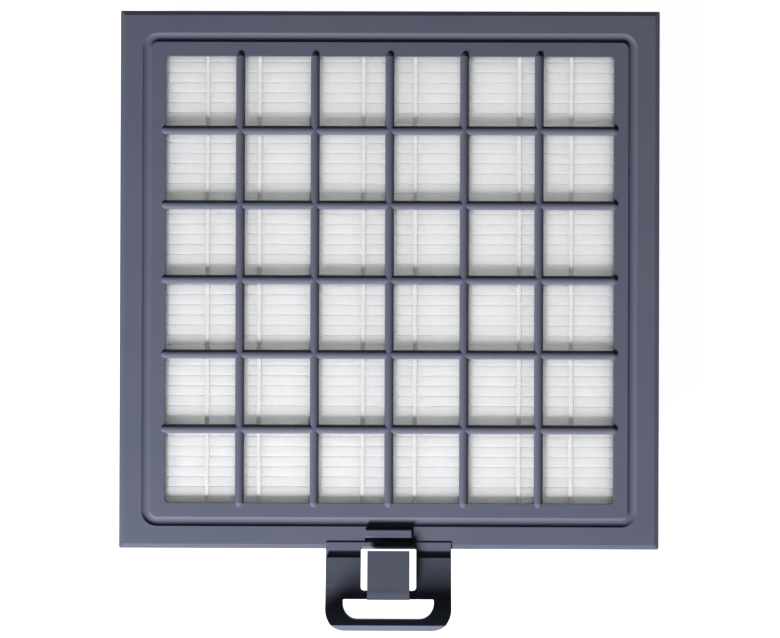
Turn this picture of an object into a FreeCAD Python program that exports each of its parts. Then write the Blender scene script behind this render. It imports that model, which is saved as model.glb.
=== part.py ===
import FreeCAD, Part
import math
import os
import re
import Sketcher

# Pleated exhaust filter cassette: a moulded plastic frame with a grille, a pull tab and a latch,
# holding a folded sheet of filter paper that is kept in shape by glue threads and sealed at its rim.
# X runs across the cassette, Y from the pull tab up to the far edge, Z out of the grille.
# The cassette lies on its rear rim, at Z = 0, and the origin is the middle of its footprint.

SIZES = [
    ("frame_deep", "25", "rear rim to the face of the flange"),
    ("flange_border", "13.7", "edge of the grille opening to the edge of the flange"),
    ("flange_thick", "2.4", "thickness of the flange"),
    ("flange_round", "0.5", "corner radius of the flange"),
    ("bevel_width", "1.35", "width of the bevel round the flange, seen from the front"),
    ("bevel_drop", "0.45", "fall of that bevel"),
    ("opening_width", "135", "grille opening, across: along Y it follows the folds"),
    ("opening_round", "1", "corner radius of the grille opening"),
    ("lip_width", "2.7", "how far the front lip covers the rim of the pack"),
    ("lip_thick", "1.05", "thickness of the front lip"),
    ("wall_thick", "1.8", "side walls of the box at the rear rim"),
    ("wall_draft", "0.5", "draft of the outer faces of the walls, in degrees"),
    ("wall_round", "2.8", "outer corner radius of the box"),
    ("groove_border", "5.65", "edge of the grille opening to the middle of the ring groove"),
    ("groove_width", "2.75", "width of the ring groove"),
    ("groove_deep", "0.6", "depth of the ring groove"),
    ("groove_round", "3.3", "corner radius of the middle line of the groove"),
    ("rib_count", "5", "grille bars each way"),
    ("rib_pitch", "22.5", "spacing of the grille bars"),
    ("rib_width", "2.7", "width of a grille bar"),
    ("rib_sink", "0.5", "how far the axis of a bar lies below the face"),
    ("rib_overlap", "1.4", "how far the axis of a bar runs on over the lip, to the tip of its end"),
    ("fold_count", "45", "front folds of the sheet"),
    ("fold_pitch", "3.05", "spacing of the folds"),
    ("sheet_thick", "0.8", "thickness of the filter paper"),
    ("front_bend_gap", "1.15", "inner width of a front fold"),
    ("bend_rise", "0.5", "height of a bend, from its knees to the scored crease"),
    ("front_bulge", "0.1", "how far each half of a front bend bows out"),
    ("rear_bulge", "0.04", "how far each half of a rear bend bows out"),
    ("media_recess", "1.5", "face of the flange down to the front folds"),
    ("media_rear_gap", "2.5", "rear rim up to the rear folds"),
    ("bead_count", "8", "glue threads on each face of the pack"),
    ("bead_margin", "12.655", "edge of the grille opening to the outermost glue thread"),
    ("bead_width", "0.9", "width of a glue thread"),
    ("bead_rise", "0.3", "height of a glue thread above the folds"),
    ("end_seal_thick", "1.7", "glue wall at the cut ends of the folds"),
    ("edge_seal_thick", "1.475", "glue line between the outermost fold and the wall"),
    ("edge_seal_deep", "10", "depth of the glue line along the first and last fold"),
    ("gasket_width", "5.5", "width of the foam ring"),
    ("gasket_thick", "2.5", "thickness of the foam ring"),
    ("gasket_gap", "0.3", "foam ring to the wall of the box"),
    ("gasket_round", "3.2", "inner corner radius of the foam ring"),
    ("strip_width", "37.7", "raised strip and pull tab, across"),
    ("strip_overlap", "2", "raised strip above the edge of the flange"),
    ("strip_rise", "0.32", "raised strip above the face of the flange"),
    ("root_reach", "0.33", "edge of the flange to the film hinge"),
    ("hinge_width", "2.7", "length of the film hinge along Y"),
    ("hinge_thick", "0.6", "thickness of the film hinge"),
    ("tab_thick", "2", "thickness of the pull tab"),
    ("tab_lean", "13", "lean of the tab below the hinge, in degrees"),
    ("tab_mid_lean", "18", "lean of the tab where it starts to curl, in degrees"),
    ("tab_lip_lean", "60", "lean of the tab at its end, in degrees"),
    ("tab_bow", "106", "radius of the upper stretch of the tab"),
    ("tab_reach", "23.4", "edge of the flange to the end of the tab"),
    ("tab_round", "6", "outer corner radius of the tab"),
    ("window_width", "16.65", "window behind the latch tongue, across"),
    ("window_from", "0.1", "edge of the flange to the near end of the window"),
    ("window_chamfer", "0.8", "chamfer along the near end of the window"),
    ("window_reach", "12.4", "edge of the flange to the lower end of the window"),
    ("window_round", "1", "corner radius of the window"),
    ("tongue_width", "12.65", "latch tongue, across"),
    ("tongue_gap", "0.3", "edge of the flange to the free end of the tongue"),
    ("tongue_reach", "14.65", "edge of the flange to the root of the tongue"),
    ("tongue_rise", "3.1", "free end of the tongue above the raised strip"),
    ("tongue_thick", "1.7", "thickness of the tongue"),
    ("tongue_round", "5", "radius of the bend at the root of the tongue"),
    ("tongue_fall", "12", "fall of the tongue at the end of that bend, in degrees"),
    ("finger_width", "27.2", "finger slot, across"),
    ("finger_from", "14.7", "edge of the flange to the near side of the finger slot"),
    ("finger_to", "20.2", "edge of the flange to the far side of the finger slot"),
    ("finger_round_near", "0.4", "near corner radius of the finger slot"),
    ("finger_round_far", "4.3", "far corner radius of the finger slot"),
    ("nose_width", "14", "latch nose, across"),
    ("nose_long", "2.45", "latch nose along Y"),
    ("nose_rise", "1.2", "latch nose above the face of the flange"),
    ("nose_round", "0.35", "edge radius of the latch nose"),
    ("pocket_width", "14.2", "pocket below the nose, across"),
    ("pocket_long", "1.44", "pocket below the nose along Y"),
    ("pocket_deep", "1.4", "pocket below the face of the flange"),
]

doc = FreeCAD.newDocument("filter_cassette")
sheet = doc.addObject("Spreadsheet::Sheet", "sizes")
for row, (alias, number, note) in enumerate(SIZES, start=1):
    sheet.set("A%d" % row, note)
    sheet.set("B%d" % row, number)
    sheet.setAlias("B%d" % row, alias)
doc.recompute()

ALIASES = re.compile(r"\b(%s)\b" % "|".join(alias for alias, number, note in SIZES))

# Places that several pieces share, measured from the middle of the grille and the rear rim.
LIP_Z = "(frame_deep - lip_thick)"
FLANGE_BACK_Z = "(frame_deep - flange_thick)"
STRIP_Z = "(frame_deep + strip_rise)"
RIB_AXIS_Z = "(frame_deep - rib_sink)"
FRONT_TIP_Z = "(frame_deep - media_recess)"
REAR_TIP_Z = "media_rear_gap"
# Across, the pack fills the box. Along Y, the box and the opening follow from the folds.
OPENING_X = "(opening_width / 2)"
CAVITY_X = "(%s + lip_width)" % OPENING_X
PACK_X = "(%s - end_seal_thick)" % CAVITY_X
REAR_BEND_GAP = "(fold_pitch - 2 * sheet_thick - front_bend_gap)"
PACK_Y = "((fold_count * fold_pitch - %s) / 2)" % REAR_BEND_GAP
CAVITY_Y = "(%s + edge_seal_thick)" % PACK_Y
OPENING_Y = "(%s - lip_width)" % CAVITY_Y
FLANGE_X = "(%s + flange_border)" % OPENING_X
FLANGE_Y = "(%s + flange_border)" % OPENING_Y
EDGE_Y = "(0 - %s)" % FLANGE_Y
# The box has drafted outer faces, so it is widest where it meets the flange.
WALL_X = "(%s + wall_thick)" % CAVITY_X
WALL_Y = "(%s + wall_thick)" % CAVITY_Y
WALL_GROWTH = "(%s * tan(wall_draft * 1 deg))" % FLANGE_BACK_Z
# The footprint runs from the end of the tab to the far edge of the flange.
FOOTPRINT_SHIFT = "(tab_reach / 2)"


def with_sheet(expression):
    """Write an expression of aliases as one that reads them from the sheet."""
    return ALIASES.sub(r"sizes.\1", expression)


def value(expression):
    """Work out an expression of aliases as a plain number."""
    result = sheet.evalExpression(with_sheet(expression))
    return float(getattr(result, "Value", result))


def bind(item, name, expression):
    """Tie a property of a document object to an expression of aliases."""
    item.setExpression(name, with_sheet(expression))


def new_body(label):
    """Make a body whose placement moves the piece into the frame of the whole cassette."""
    body = doc.addObject("PartDesign::Body", label)
    body.Label = label
    bind(body, "Placement.Base.y", FOOTPRINT_SHIFT)
    return body


def datum(body, role):
    """Find a plane or axis of a body's own origin."""
    return next(item for item in body.Origin.OriginFeatures if item.Role == role)


def new_sketch(body, name, role, lift="0", shift_x="0", shift_y="0"):
    """Start a sketch on a plane of the body's origin, lifted and shifted by expressions."""
    sketch = body.newObject("Sketcher::SketchObject", name)
    sketch.AttachmentSupport = [(datum(body, role), "")]
    sketch.MapMode = "FlatFace"
    bind(sketch, "AttachmentOffset.Base.x", shift_x)
    bind(sketch, "AttachmentOffset.Base.y", shift_y)
    bind(sketch, "AttachmentOffset.Base.z", lift)
    return sketch


def draw_outline(sketch, corners):
    """Draw a closed outline and tie every corner to the sheet.

    Each corner is (x, y) or (x, y, radius, side): the run to the next corner is then an arc of that
    radius whose centre lies to the left (side 1) or right (side -1) of the way to the next corner.
    """
    places = [FreeCAD.Vector(value(corner[0]), value(corner[1]), 0) for corner in corners]
    up = FreeCAD.Vector(0, 0, 1)
    starts = []
    ends = []
    for index, corner in enumerate(corners):
        here = places[index]
        there = places[(index + 1) % len(places)]
        if len(corner) == 2:
            number = sketch.addGeometry(Part.LineSegment(here, there), False)
            starts.append((number, 1))
            ends.append((number, 2))
            continue
        radius = value(corner[2])
        side = corner[3]
        chord = there - here
        rise = math.sqrt(max(radius ** 2 - (chord.Length / 2) ** 2, 0))
        left = FreeCAD.Vector(-chord.y, chord.x, 0).normalize()
        centre = here + chord * 0.5 + left * rise * side
        first, last = (here, there) if side > 0 else (there, here)
        angles = [math.atan2(end.y - centre.y, end.x - centre.x) for end in (first, last)]
        if angles[1] < angles[0]:
            angles[1] += 2 * math.pi
        arc = Part.ArcOfCircle(Part.Circle(centre, up, radius), angles[0], angles[1])
        number = sketch.addGeometry(arc, False)
        starts.append((number, 1 if side > 0 else 2))
        ends.append((number, 2 if side > 0 else 1))
    for index, corner in enumerate(corners):
        after = starts[(index + 1) % len(corners)]
        sketch.addConstraint(Sketcher.Constraint("Coincident", *ends[index], *after))
        for kind, place, expression in (
            ("DistanceX", places[index].x, corner[0]),
            ("DistanceY", places[index].y, corner[1]),
        ):
            number = sketch.addConstraint(Sketcher.Constraint(kind, -1, 1, *starts[index], place))
            bind(sketch, "Constraints[%d]" % number, expression)
        if len(corner) > 2:
            number = sketch.addConstraint(
                Sketcher.Constraint("Radius", starts[index][0], value(corner[2]))
            )
            bind(sketch, "Constraints[%d]" % number, corner[2])


def draw_box(sketch, left, right, low, high):
    """Draw a rectangle between four expressions."""
    draw_outline(sketch, [(left, low), (right, low), (right, high), (left, high)])


def rounded_corners(left, right, low, high, radius, radius_high=None):
    """List the corners of a rectangle with round corners, one radius low and one high."""
    top = radius_high or radius
    return [
        ("(%s) + %s" % (left, radius), low),
        ("(%s) - %s" % (right, radius), low, radius, 1),
        (right, "(%s) + %s" % (low, radius)),
        (right, "(%s) - %s" % (high, top), top, 1),
        ("(%s) - %s" % (right, top), high),
        ("(%s) + %s" % (left, top), high, top, 1),
        (left, "(%s) - %s" % (high, top)),
        (left, "(%s) + %s" % (low, radius), radius, 1),
    ]


def mirrored_box(half_x, half_y, radius):
    """List the corners of a rounded rectangle about the middle of the grille."""
    return rounded_corners("0 - " + half_x, half_x, "0 - " + half_y, half_y, radius)


def add_pad(body, name, sketch, length, both_ways=False):
    """Pad a sketch by an expression, to both sides of it if asked."""
    pad = body.newObject("PartDesign::Pad", name)
    pad.Profile = sketch
    if both_ways:
        pad.SideType = "Symmetric"
    bind(pad, "Length", length)
    return pad


def add_pocket(body, name, sketch, length, upwards=False, both_ways=False):
    """Cut a sketch into the body by an expression: downwards, upwards or to both sides of it."""
    pocket = body.newObject("PartDesign::Pocket", name)
    pocket.Profile = sketch
    pocket.Reversed = upwards
    if both_ways:
        pocket.SideType = "Symmetric"
    bind(pocket, "Length", length)
    return pocket


def add_pattern(body, name, originals, role):
    """Repeat the grille bars along an axis of the body's origin."""
    pattern = body.newObject("PartDesign::LinearPattern", name)
    pattern.Originals = originals
    pattern.Direction = (datum(body, role), [""])
    bind(pattern, "Length", "(rib_count - 1) * rib_pitch")
    bind(pattern, "Occurrences", "rib_count")
    body.Tip = pattern
    return pattern


def build_box_and_flange(body):
    """Pad the drafted box and the bevelled flange, then hollow them for the pack."""
    walls = new_sketch(body, "wall_outline", "XY_Plane")
    draw_outline(walls, mirrored_box(WALL_X, WALL_Y, "wall_round"))
    box = add_pad(body, "wall_block", walls, FLANGE_BACK_Z)
    bind(box, "TaperAngle", "wall_draft")

    bevel_z = "(frame_deep - bevel_drop)"
    flange = new_sketch(body, "flange_outline", "XY_Plane", lift=FLANGE_BACK_Z)
    draw_outline(flange, mirrored_box(FLANGE_X, FLANGE_Y, "flange_round"))
    add_pad(body, "flange_plate", flange, "flange_thick - bevel_drop")

    foot = new_sketch(body, "bevel_foot", "XY_Plane", lift=bevel_z)
    draw_outline(foot, mirrored_box(FLANGE_X, FLANGE_Y, "flange_round"))
    face = new_sketch(body, "bevel_face", "XY_Plane", lift="frame_deep")
    face_x, face_y = "(%s - bevel_width)" % FLANGE_X, "(%s - bevel_width)" % FLANGE_Y
    draw_outline(face, mirrored_box(face_x, face_y, "flange_round"))
    bevel = body.newObject("PartDesign::AdditiveLoft", "flange_bevel")
    bevel.Profile = foot
    bevel.Sections = [face]
    bevel.Ruled = True
    body.Tip = bevel

    cavity = new_sketch(body, "cavity_outline", "XY_Plane")
    draw_box(cavity, "0 - " + CAVITY_X, CAVITY_X, "0 - " + CAVITY_Y, CAVITY_Y)
    add_pocket(body, "pack_cavity", cavity, LIP_Z, upwards=True)

    opening = new_sketch(body, "opening_outline", "XY_Plane")
    draw_outline(opening, mirrored_box(OPENING_X, OPENING_Y, "opening_round"))
    add_pocket(body, "grille_opening", opening, "frame_deep + 1", upwards=True)


def build_groove(body):
    """Sweep a shallow round groove round the flange, outside the walls of the box."""
    half_x = "(%s + groove_border)" % OPENING_X
    half_y = "(%s + groove_border)" % OPENING_Y
    path = new_sketch(body, "groove_path", "XY_Plane", lift="frame_deep")
    corners = mirrored_box(half_x, half_y, "groove_round")
    # The path starts in the middle of the right-hand side, where the round section stands.
    draw_outline(path, [(half_x, "0")] + corners[3:] + corners[:3])

    tool_radius = "(((groove_width / 2) ^ 2 + groove_deep ^ 2) / (2 * groove_deep))"
    tool_z = "(frame_deep - groove_deep + %s)" % tool_radius
    section = new_sketch(body, "groove_section", "XZ_Plane")
    centre = FreeCAD.Vector(value(half_x), value(tool_z), 0)
    circle = Part.Circle(centre, FreeCAD.Vector(0, 0, 1), value(tool_radius))
    section.addGeometry(circle, False)
    across = section.addConstraint(Sketcher.Constraint("DistanceX", -1, 1, 0, 3, centre.x))
    bind(section, "Constraints[%d]" % across, half_x)
    above = section.addConstraint(Sketcher.Constraint("DistanceY", -1, 1, 0, 3, centre.y))
    bind(section, "Constraints[%d]" % above, tool_z)
    size = section.addConstraint(Sketcher.Constraint("Radius", 0, value(tool_radius)))
    bind(section, "Constraints[%d]" % size, tool_radius)

    groove = body.newObject("PartDesign::SubtractivePipe", "ring_groove")
    groove.Profile = section
    groove.Spine = (path, [])
    body.Tip = groove


def build_grille(body):
    """Turn one half-round bar each way, with domed ends and a web below, and repeat both."""
    first_place = "(0 - (rib_count - 1) * rib_pitch / 2)"
    radius = "(rib_width / 2)"
    # Each dome is turned from two chords of a quarter circle.
    knee = "(%s * cos(45 * 1 deg))" % radius
    for along, role, half_opening in (
        ("y", "X_Axis", OPENING_Y),
        ("x", "Y_Axis", OPENING_X),
    ):
        reach = "(%s + rib_overlap)" % half_opening
        straight = "(%s - %s)" % (reach, radius)
        domed = "(%s + %s)" % (straight, knee)
        shift = {"shift_x" if along == "y" else "shift_y": first_place}
        crown = new_sketch(body, "bar_%s_crown" % along, "XY_Plane", lift=RIB_AXIS_Z, **shift)
        web = new_sketch(body, "bar_%s_web" % along, "XY_Plane", lift=LIP_Z, **shift)
        if along == "y":
            outline = [
                ("0", "0 - " + reach),
                (knee, "0 - " + domed),
                (radius, "0 - " + straight),
                (radius, straight),
                (knee, domed),
                ("0", reach),
            ]
            draw_box(web, "0 - " + radius, radius, "0 - " + straight, straight)
        else:
            outline = [
                (reach, "0"),
                (domed, knee),
                (straight, radius),
                ("0 - " + straight, radius),
                ("0 - " + domed, knee),
                ("0 - " + reach, "0"),
            ]
            draw_box(web, "0 - " + straight, straight, "0 - " + radius, radius)
        draw_outline(crown, outline)
        turned = body.newObject("PartDesign::Revolution", "bar_%s_turned" % along)
        turned.Profile = crown
        turned.ReferenceAxis = (crown, ["V_Axis" if along == "y" else "H_Axis"])
        turned.Angle = 180
        turned.Reversed = along == "y"
        base = add_pad(body, "bar_%s_base" % along, web, "lip_thick - rib_sink")
        add_pattern(body, "bars_along_%s" % along, [turned, base], role)


def build_latch_nose(body):
    """Add the latch nose on the flange, the pocket below it and the raised strip."""
    strip_top = "(%s + strip_overlap)" % EDGE_Y
    nose_low = "(%s + pocket_long)" % strip_top
    nose_high = "(%s + nose_long)" % nose_low
    root_z = "(%s - tab_thick)" % STRIP_Z

    strip = new_sketch(body, "strip_outline", "XY_Plane", lift=root_z)
    half = "(strip_width / 2)"
    draw_box(strip, "0 - " + half, half, EDGE_Y + " - root_reach", strip_top)
    add_pad(body, "raised_strip", strip, "tab_thick")

    pocket = new_sketch(body, "pocket_outline", "XY_Plane", lift=STRIP_Z)
    half = "(pocket_width / 2)"
    draw_box(pocket, "0 - " + half, half, strip_top, nose_low)
    add_pocket(body, "latch_pocket", pocket, "pocket_deep + strip_rise")

    nose = new_sketch(body, "nose_outline", "XY_Plane", lift="frame_deep - pocket_deep")
    half = "(nose_width / 2)"
    draw_box(nose, "0 - " + half, half, nose_low, nose_high)
    block = add_pad(body, "latch_nose", nose, "pocket_deep + nose_rise")
    doc.recompute()

    nose_z = value("frame_deep + nose_rise")
    nose_edges = [
        "Edge%d" % number
        for number, edge in enumerate(block.Shape.Edges, start=1)
        if all(abs(point.Point.z - nose_z) < 1e-6 for point in edge.Vertexes)
    ]
    rounding = body.newObject("PartDesign::Fillet", "latch_nose_round")
    rounding.Base = (block, nose_edges)
    bind(rounding, "Radius", "nose_round")
    doc.recompute()


def tab_sine(angle):
    """Write the sine of an angle of the tab."""
    return "sin(%s * 1 deg)" % angle


def tab_cosine(angle):
    """Write the cosine of an angle of the tab."""
    return "cos(%s * 1 deg)" % angle


def behind(point, angle, distance):
    """Write the point that lies a distance behind a point of a face that leans by an angle."""
    across, up = point
    return (
        "(%s - %s * %s)" % (across, distance, tab_sine(angle)),
        "(%s - %s * %s)" % (up, distance, tab_cosine(angle)),
    )


def tab_profile():
    """Work out the side view of the tab: hinge film, leaning stretch and curl, as (y, z) places."""
    root_y = "(%s - root_reach)" % EDGE_Y
    back_z = "(%s - tab_thick)" % STRIP_Z
    film_z = "(%s + hinge_thick)" % back_z
    back_start = ("(%s - hinge_width)" % root_y, back_z)
    front_start = behind(back_start, "tab_lean", "(0 - tab_thick)")
    # The upper stretch bows from the first lean to the second.
    fall = "(tab_bow * (%s - %s))" % (tab_sine("tab_mid_lean"), tab_sine("tab_lean"))
    rise = "(tab_bow * (%s - %s))" % (tab_cosine("tab_lean"), tab_cosine("tab_mid_lean"))
    front_mid = ("(%s - %s)" % (front_start[0], fall), "(%s + %s)" % (front_start[1], rise))
    # The curl ends so that the back corner of the tab lies at the stated reach.
    curl_radius = "((tab_reach - %s + %s - tab_thick * %s) / (%s - %s))" % (
        EDGE_Y,
        front_mid[0],
        tab_sine("tab_lip_lean"),
        tab_sine("tab_lip_lean"),
        tab_sine("tab_mid_lean"),
    )
    curl_fall = "(%s * (%s - %s))" % (curl_radius, tab_sine("tab_lip_lean"), tab_sine("tab_mid_lean"))
    curl_rise = "(%s * (%s - %s))" % (curl_radius, tab_cosine("tab_mid_lean"), tab_cosine("tab_lip_lean"))
    front_end = ("(%s - %s)" % (front_mid[0], curl_fall), "(%s + %s)" % (front_mid[1], curl_rise))
    back_mid = behind(front_mid, "tab_mid_lean", "tab_thick")
    back_end = behind(front_end, "tab_lip_lean", "tab_thick")
    film_front = (
        "(%s + (%s - %s) * tan(tab_lean * 1 deg))" % (back_start[0], film_z, back_z),
        film_z,
    )
    outline = [
        (root_y, back_z),
        (root_y, film_z),
        film_front,
        front_start + ("tab_bow", -1),
        front_mid + (curl_radius, -1),
        front_end,
        back_end + ("(%s + tab_thick)" % curl_radius, 1),
        back_mid + ("(tab_bow + tab_thick)", 1),
        back_start,
    ]
    return outline, front_mid


def build_pull_tab(body):
    """Add the film hinge and the curled tab, cut its window and finger slot, and add the tongue."""
    outline, front_mid = tab_profile()
    side_view = new_sketch(body, "tab_side_view", "YZ_Plane")
    draw_outline(side_view, outline)
    add_pad(body, "pull_tab", side_view, "strip_width", both_ways=True)

    end_y = "(%s - tab_reach)" % EDGE_Y
    round_y = "(%s + tab_round)" % end_y
    high_z = "(%s + tab_reach)" % STRIP_Z
    for name, sign in (("left", "0 - "), ("right", "0 + ")):
        waste = new_sketch(body, "tab_corner_%s" % name, "XY_Plane", lift=high_z)
        edge_x = "(%s(strip_width / 2))" % sign
        inner_x = "(%s(strip_width / 2 - tab_round))" % sign
        beyond_x = "(%s(strip_width / 2 + tab_thick))" % sign
        beyond_y = "(%s - tab_thick)" % end_y
        side = -1 if name == "right" else 1
        draw_outline(
            waste,
            [
                (edge_x, round_y, "tab_round", side),
                (inner_x, end_y),
                (inner_x, beyond_y),
                (beyond_x, beyond_y),
                (beyond_x, round_y),
            ],
        )
        add_pocket(body, "tab_round_%s" % name, waste, high_z)

    window = new_sketch(body, "window_outline", "XY_Plane", lift=high_z)
    draw_outline(
        window,
        rounded_corners(
            "0 - window_width / 2",
            "window_width / 2",
            EDGE_Y + " - window_reach",
            EDGE_Y + " - window_from",
            "window_round",
            "(window_round / 2)",
        ),
    )
    add_pocket(body, "latch_window", window, high_z)

    rim = new_sketch(body, "window_rim", "YZ_Plane")
    near_y = "(%s - window_from)" % EDGE_Y
    draw_outline(
        rim,
        [
            (near_y + " - window_chamfer", STRIP_Z + " - 2 * window_chamfer"),
            (near_y + " + 2 * window_chamfer", STRIP_Z + " + window_chamfer"),
            (near_y + " - window_chamfer", STRIP_Z + " + window_chamfer"),
        ],
    )
    add_pocket(body, "window_bevel", rim, "window_width", both_ways=True)

    tongue = new_sketch(body, "tongue_side_view", "YZ_Plane")
    slope = "tan(tab_lean * 1 deg)"
    free_front = ("(%s - tongue_gap)" % EDGE_Y, "(%s + tongue_rise)" % STRIP_Z)
    free_back = behind(free_front, "tab_lean", "tongue_thick")
    root_y = "(%s - tongue_reach)" % EDGE_Y
    # The bend starts tangent to the leaning face and ends at the root, where it falls away.
    bend_run = "(tongue_round * (%s + %s))" % (tab_sine("tab_lean"), tab_sine("tongue_fall"))
    bend_y = "(%s + %s)" % (root_y, bend_run)
    bend_z = "(%s + (%s - %s) * %s)" % (free_front[1], free_front[0], bend_y, slope)
    bend_lift = "(tongue_round * (%s - %s))" % (tab_cosine("tongue_fall"), tab_cosine("tab_lean"))
    inner_y = "(%s - window_reach)" % EDGE_Y
    foot_z = "(%s - tab_thick / 4)" % front_mid[1]
    draw_outline(
        tongue,
        [
            free_front,
            (bend_y, bend_z, "tongue_round", 1),
            (root_y, "(%s + %s)" % (bend_z, bend_lift)),
            (root_y, foot_z),
            (inner_y, foot_z),
            (inner_y, "(%s + (%s - %s) * %s)" % (free_back[1], free_back[0], inner_y, slope)),
            free_back,
        ],
    )
    add_pad(body, "latch_tongue", tongue, "tongue_width", both_ways=True)

    finger = new_sketch(body, "finger_outline", "XY_Plane", lift=high_z)
    draw_outline(
        finger,
        rounded_corners(
            "0 - finger_width / 2",
            "finger_width / 2",
            EDGE_Y + " - finger_to",
            EDGE_Y + " - finger_from",
            "finger_round_far",
            "finger_round_near",
        ),
    )
    add_pocket(body, "finger_slot", finger, high_z)


def build_cassette_frame():
    """Build the whole moulding."""
    body = new_body("cassette_frame")
    build_box_and_flange(body)
    build_groove(body)
    build_grille(body)
    build_latch_nose(body)
    build_pull_tab(body)
    doc.recompute()
    return body


def build_pleated_media():
    """Fold the sheet: flat flanks joined by scored bends, front and rear in turn."""
    thick = value("sheet_thick")
    pitch = value("fold_pitch")
    count = int(round(value("fold_count")))
    rise = value("bend_rise")
    half_x = value(PACK_X)
    first_y = -value(PACK_Y)

    def place(y, z):
        return FreeCAD.Vector(-half_x, y, z)

    def bend_heights(outer_width, tip_z, outwards):
        """Work out the knees and the crease, outside and inside, for a sheet of even thickness."""
        slope = math.atan2(rise, outer_width / 2)
        knee_z = tip_z - outwards * rise
        inner_knee_z = knee_z - outwards * thick * math.tan((math.pi / 2 - slope) / 2)
        return (knee_z, tip_z), (inner_knee_z, tip_z - outwards * thick / math.cos(slope))

    def bend(start_y, width, heights, bulge):
        """Run from a knee over the crease to the far knee, bowed to the left by the bulge."""
        knee_z, crease_z = heights
        stops = [place(start_y, knee_z), place(start_y + width / 2, crease_z)]
        stops.append(place(start_y + width, knee_z))
        halves = []
        for near, far in zip(stops, stops[1:]):
            way = far - near
            if bulge == 0:
                halves.append(Part.LineSegment(near, far))
                continue
            left = FreeCAD.Vector(0, -way.z, way.y).normalize()
            halves.append(Part.Arc(near, (near + far) / 2 + left * bulge, far))
        return halves

    def run(y, from_z, to_z):
        return Part.LineSegment(place(y, from_z), place(y, to_z))

    front_gap = value("front_bend_gap")
    front_width = front_gap + 2 * thick
    front_out, front_in = bend_heights(front_width, value(FRONT_TIP_Z), 1)
    rear_gap = value(REAR_BEND_GAP)
    rear_width = rear_gap + 2 * thick
    rear_out, rear_in = bend_heights(rear_width, value(REAR_TIP_Z), -1)
    # Both sides of the sheet are followed from the first flank to the last.
    upper = []
    lower = []
    for index in range(count):
        left = first_y + index * pitch
        right = left + front_width
        upper.append(run(left, rear_in[0], front_out[0]))
        upper.extend(bend(left, front_width, front_out, value("front_bulge")))
        upper.append(run(right, front_out[0], rear_in[0]))
        lower.append(run(left + thick, rear_out[0], front_in[0]))
        lower.extend(bend(left + thick, front_gap, front_in, 0))
        lower.append(run(right - thick, front_in[0], rear_out[0]))
        if index < count - 1:
            upper.extend(bend(right, rear_gap, rear_in, 0))
            lower.extend(bend(right - thick, rear_width, rear_out, -value("rear_bulge")))
    last_y = first_y + (count - 1) * pitch + front_width
    caps = [
        Part.LineSegment(place(first_y, rear_in[0]), place(first_y + thick, rear_out[0])),
        Part.LineSegment(place(last_y - thick, rear_out[0]), place(last_y, rear_in[0])),
    ]
    edges = [curve.toShape() for curve in upper + lower + caps]
    section = Part.Face(Part.Wire(Part.__sortEdges__(edges)))
    media = doc.addObject("Part::Feature", "pleated_media")
    media.Shape = section.extrude(FreeCAD.Vector(2 * half_x, 0, 0))
    media.Placement.Base = FreeCAD.Vector(0, value(FOOTPRINT_SHIFT), 0)
    media.Label = "pleated_media"
    return media


def build_bead(label, number, face_z, outwards):
    """Lay one glue thread across the folds: flat where it lies on them, rounded outside."""
    body = new_body(label)
    share = "((%d - (bead_count + 1) / 2) / (bead_count - 1))" % number
    middle = "(%s * (opening_width - 2 * bead_margin))" % share
    section = new_sketch(body, label + "_section", "XZ_Plane", shift_x=middle, shift_y=face_z)
    crown = "(((bead_width / 2) ^ 2 + bead_rise ^ 2) / (2 * bead_rise))"
    half = "(bead_width / 2)"
    if outwards > 0:
        corners = [("0 - " + half, "0"), (half, "0", crown, 1)]
    else:
        corners = [(half, "0"), ("0 - " + half, "0", crown, 1)]
    draw_outline(section, corners)
    add_pad(body, label + "_thread", section, "2 * " + PACK_Y, both_ways=True)
    return body


def build_end_seal(label, side):
    """Cast one glue wall between the cut ends of the folds and the wall of the box."""
    body = new_body(label)
    outline = new_sketch(body, label + "_outline", "XY_Plane", lift=REAR_TIP_Z)
    near, far = PACK_X, CAVITY_X
    if side < 0:
        near, far = "0 - " + CAVITY_X, "0 - " + PACK_X
    draw_box(outline, near, far, "0 - " + CAVITY_Y, CAVITY_Y)
    add_pad(body, label + "_wall", outline, LIP_Z + " - " + REAR_TIP_Z)
    return body


def build_edge_seal(label, side):
    """Cast one glue line between the outermost fold and the wall of the box."""
    body = new_body(label)
    outline = new_sketch(body, label + "_outline", "XY_Plane", lift=REAR_TIP_Z)
    near, far = PACK_Y, CAVITY_Y
    if side < 0:
        near, far = "0 - " + CAVITY_Y, "0 - " + PACK_Y
    draw_box(outline, "0 - " + PACK_X, PACK_X, near, far)
    add_pad(body, label + "_line", outline, "edge_seal_deep")
    return body


def build_gasket():
    """Cut the foam ring that lies against the back of the flange, round the box."""
    body = new_body("flange_gasket")
    lift = FLANGE_BACK_Z + " - gasket_thick"
    inner_x = "(%s + %s + gasket_gap)" % (WALL_X, WALL_GROWTH)
    inner_y = "(%s + %s + gasket_gap)" % (WALL_Y, WALL_GROWTH)
    outer = new_sketch(body, "gasket_outline", "XY_Plane", lift=lift)
    outer_round = "(gasket_round + gasket_width)"
    draw_outline(
        outer,
        mirrored_box("(%s + gasket_width)" % inner_x, "(%s + gasket_width)" % inner_y, outer_round),
    )
    add_pad(body, "gasket_plate", outer, "gasket_thick")
    inner = new_sketch(body, "gasket_hole", "XY_Plane", lift=lift)
    draw_outline(inner, mirrored_box(inner_x, inner_y, "gasket_round"))
    add_pocket(body, "gasket_ring", inner, "gasket_thick", upwards=True)
    return body


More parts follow.
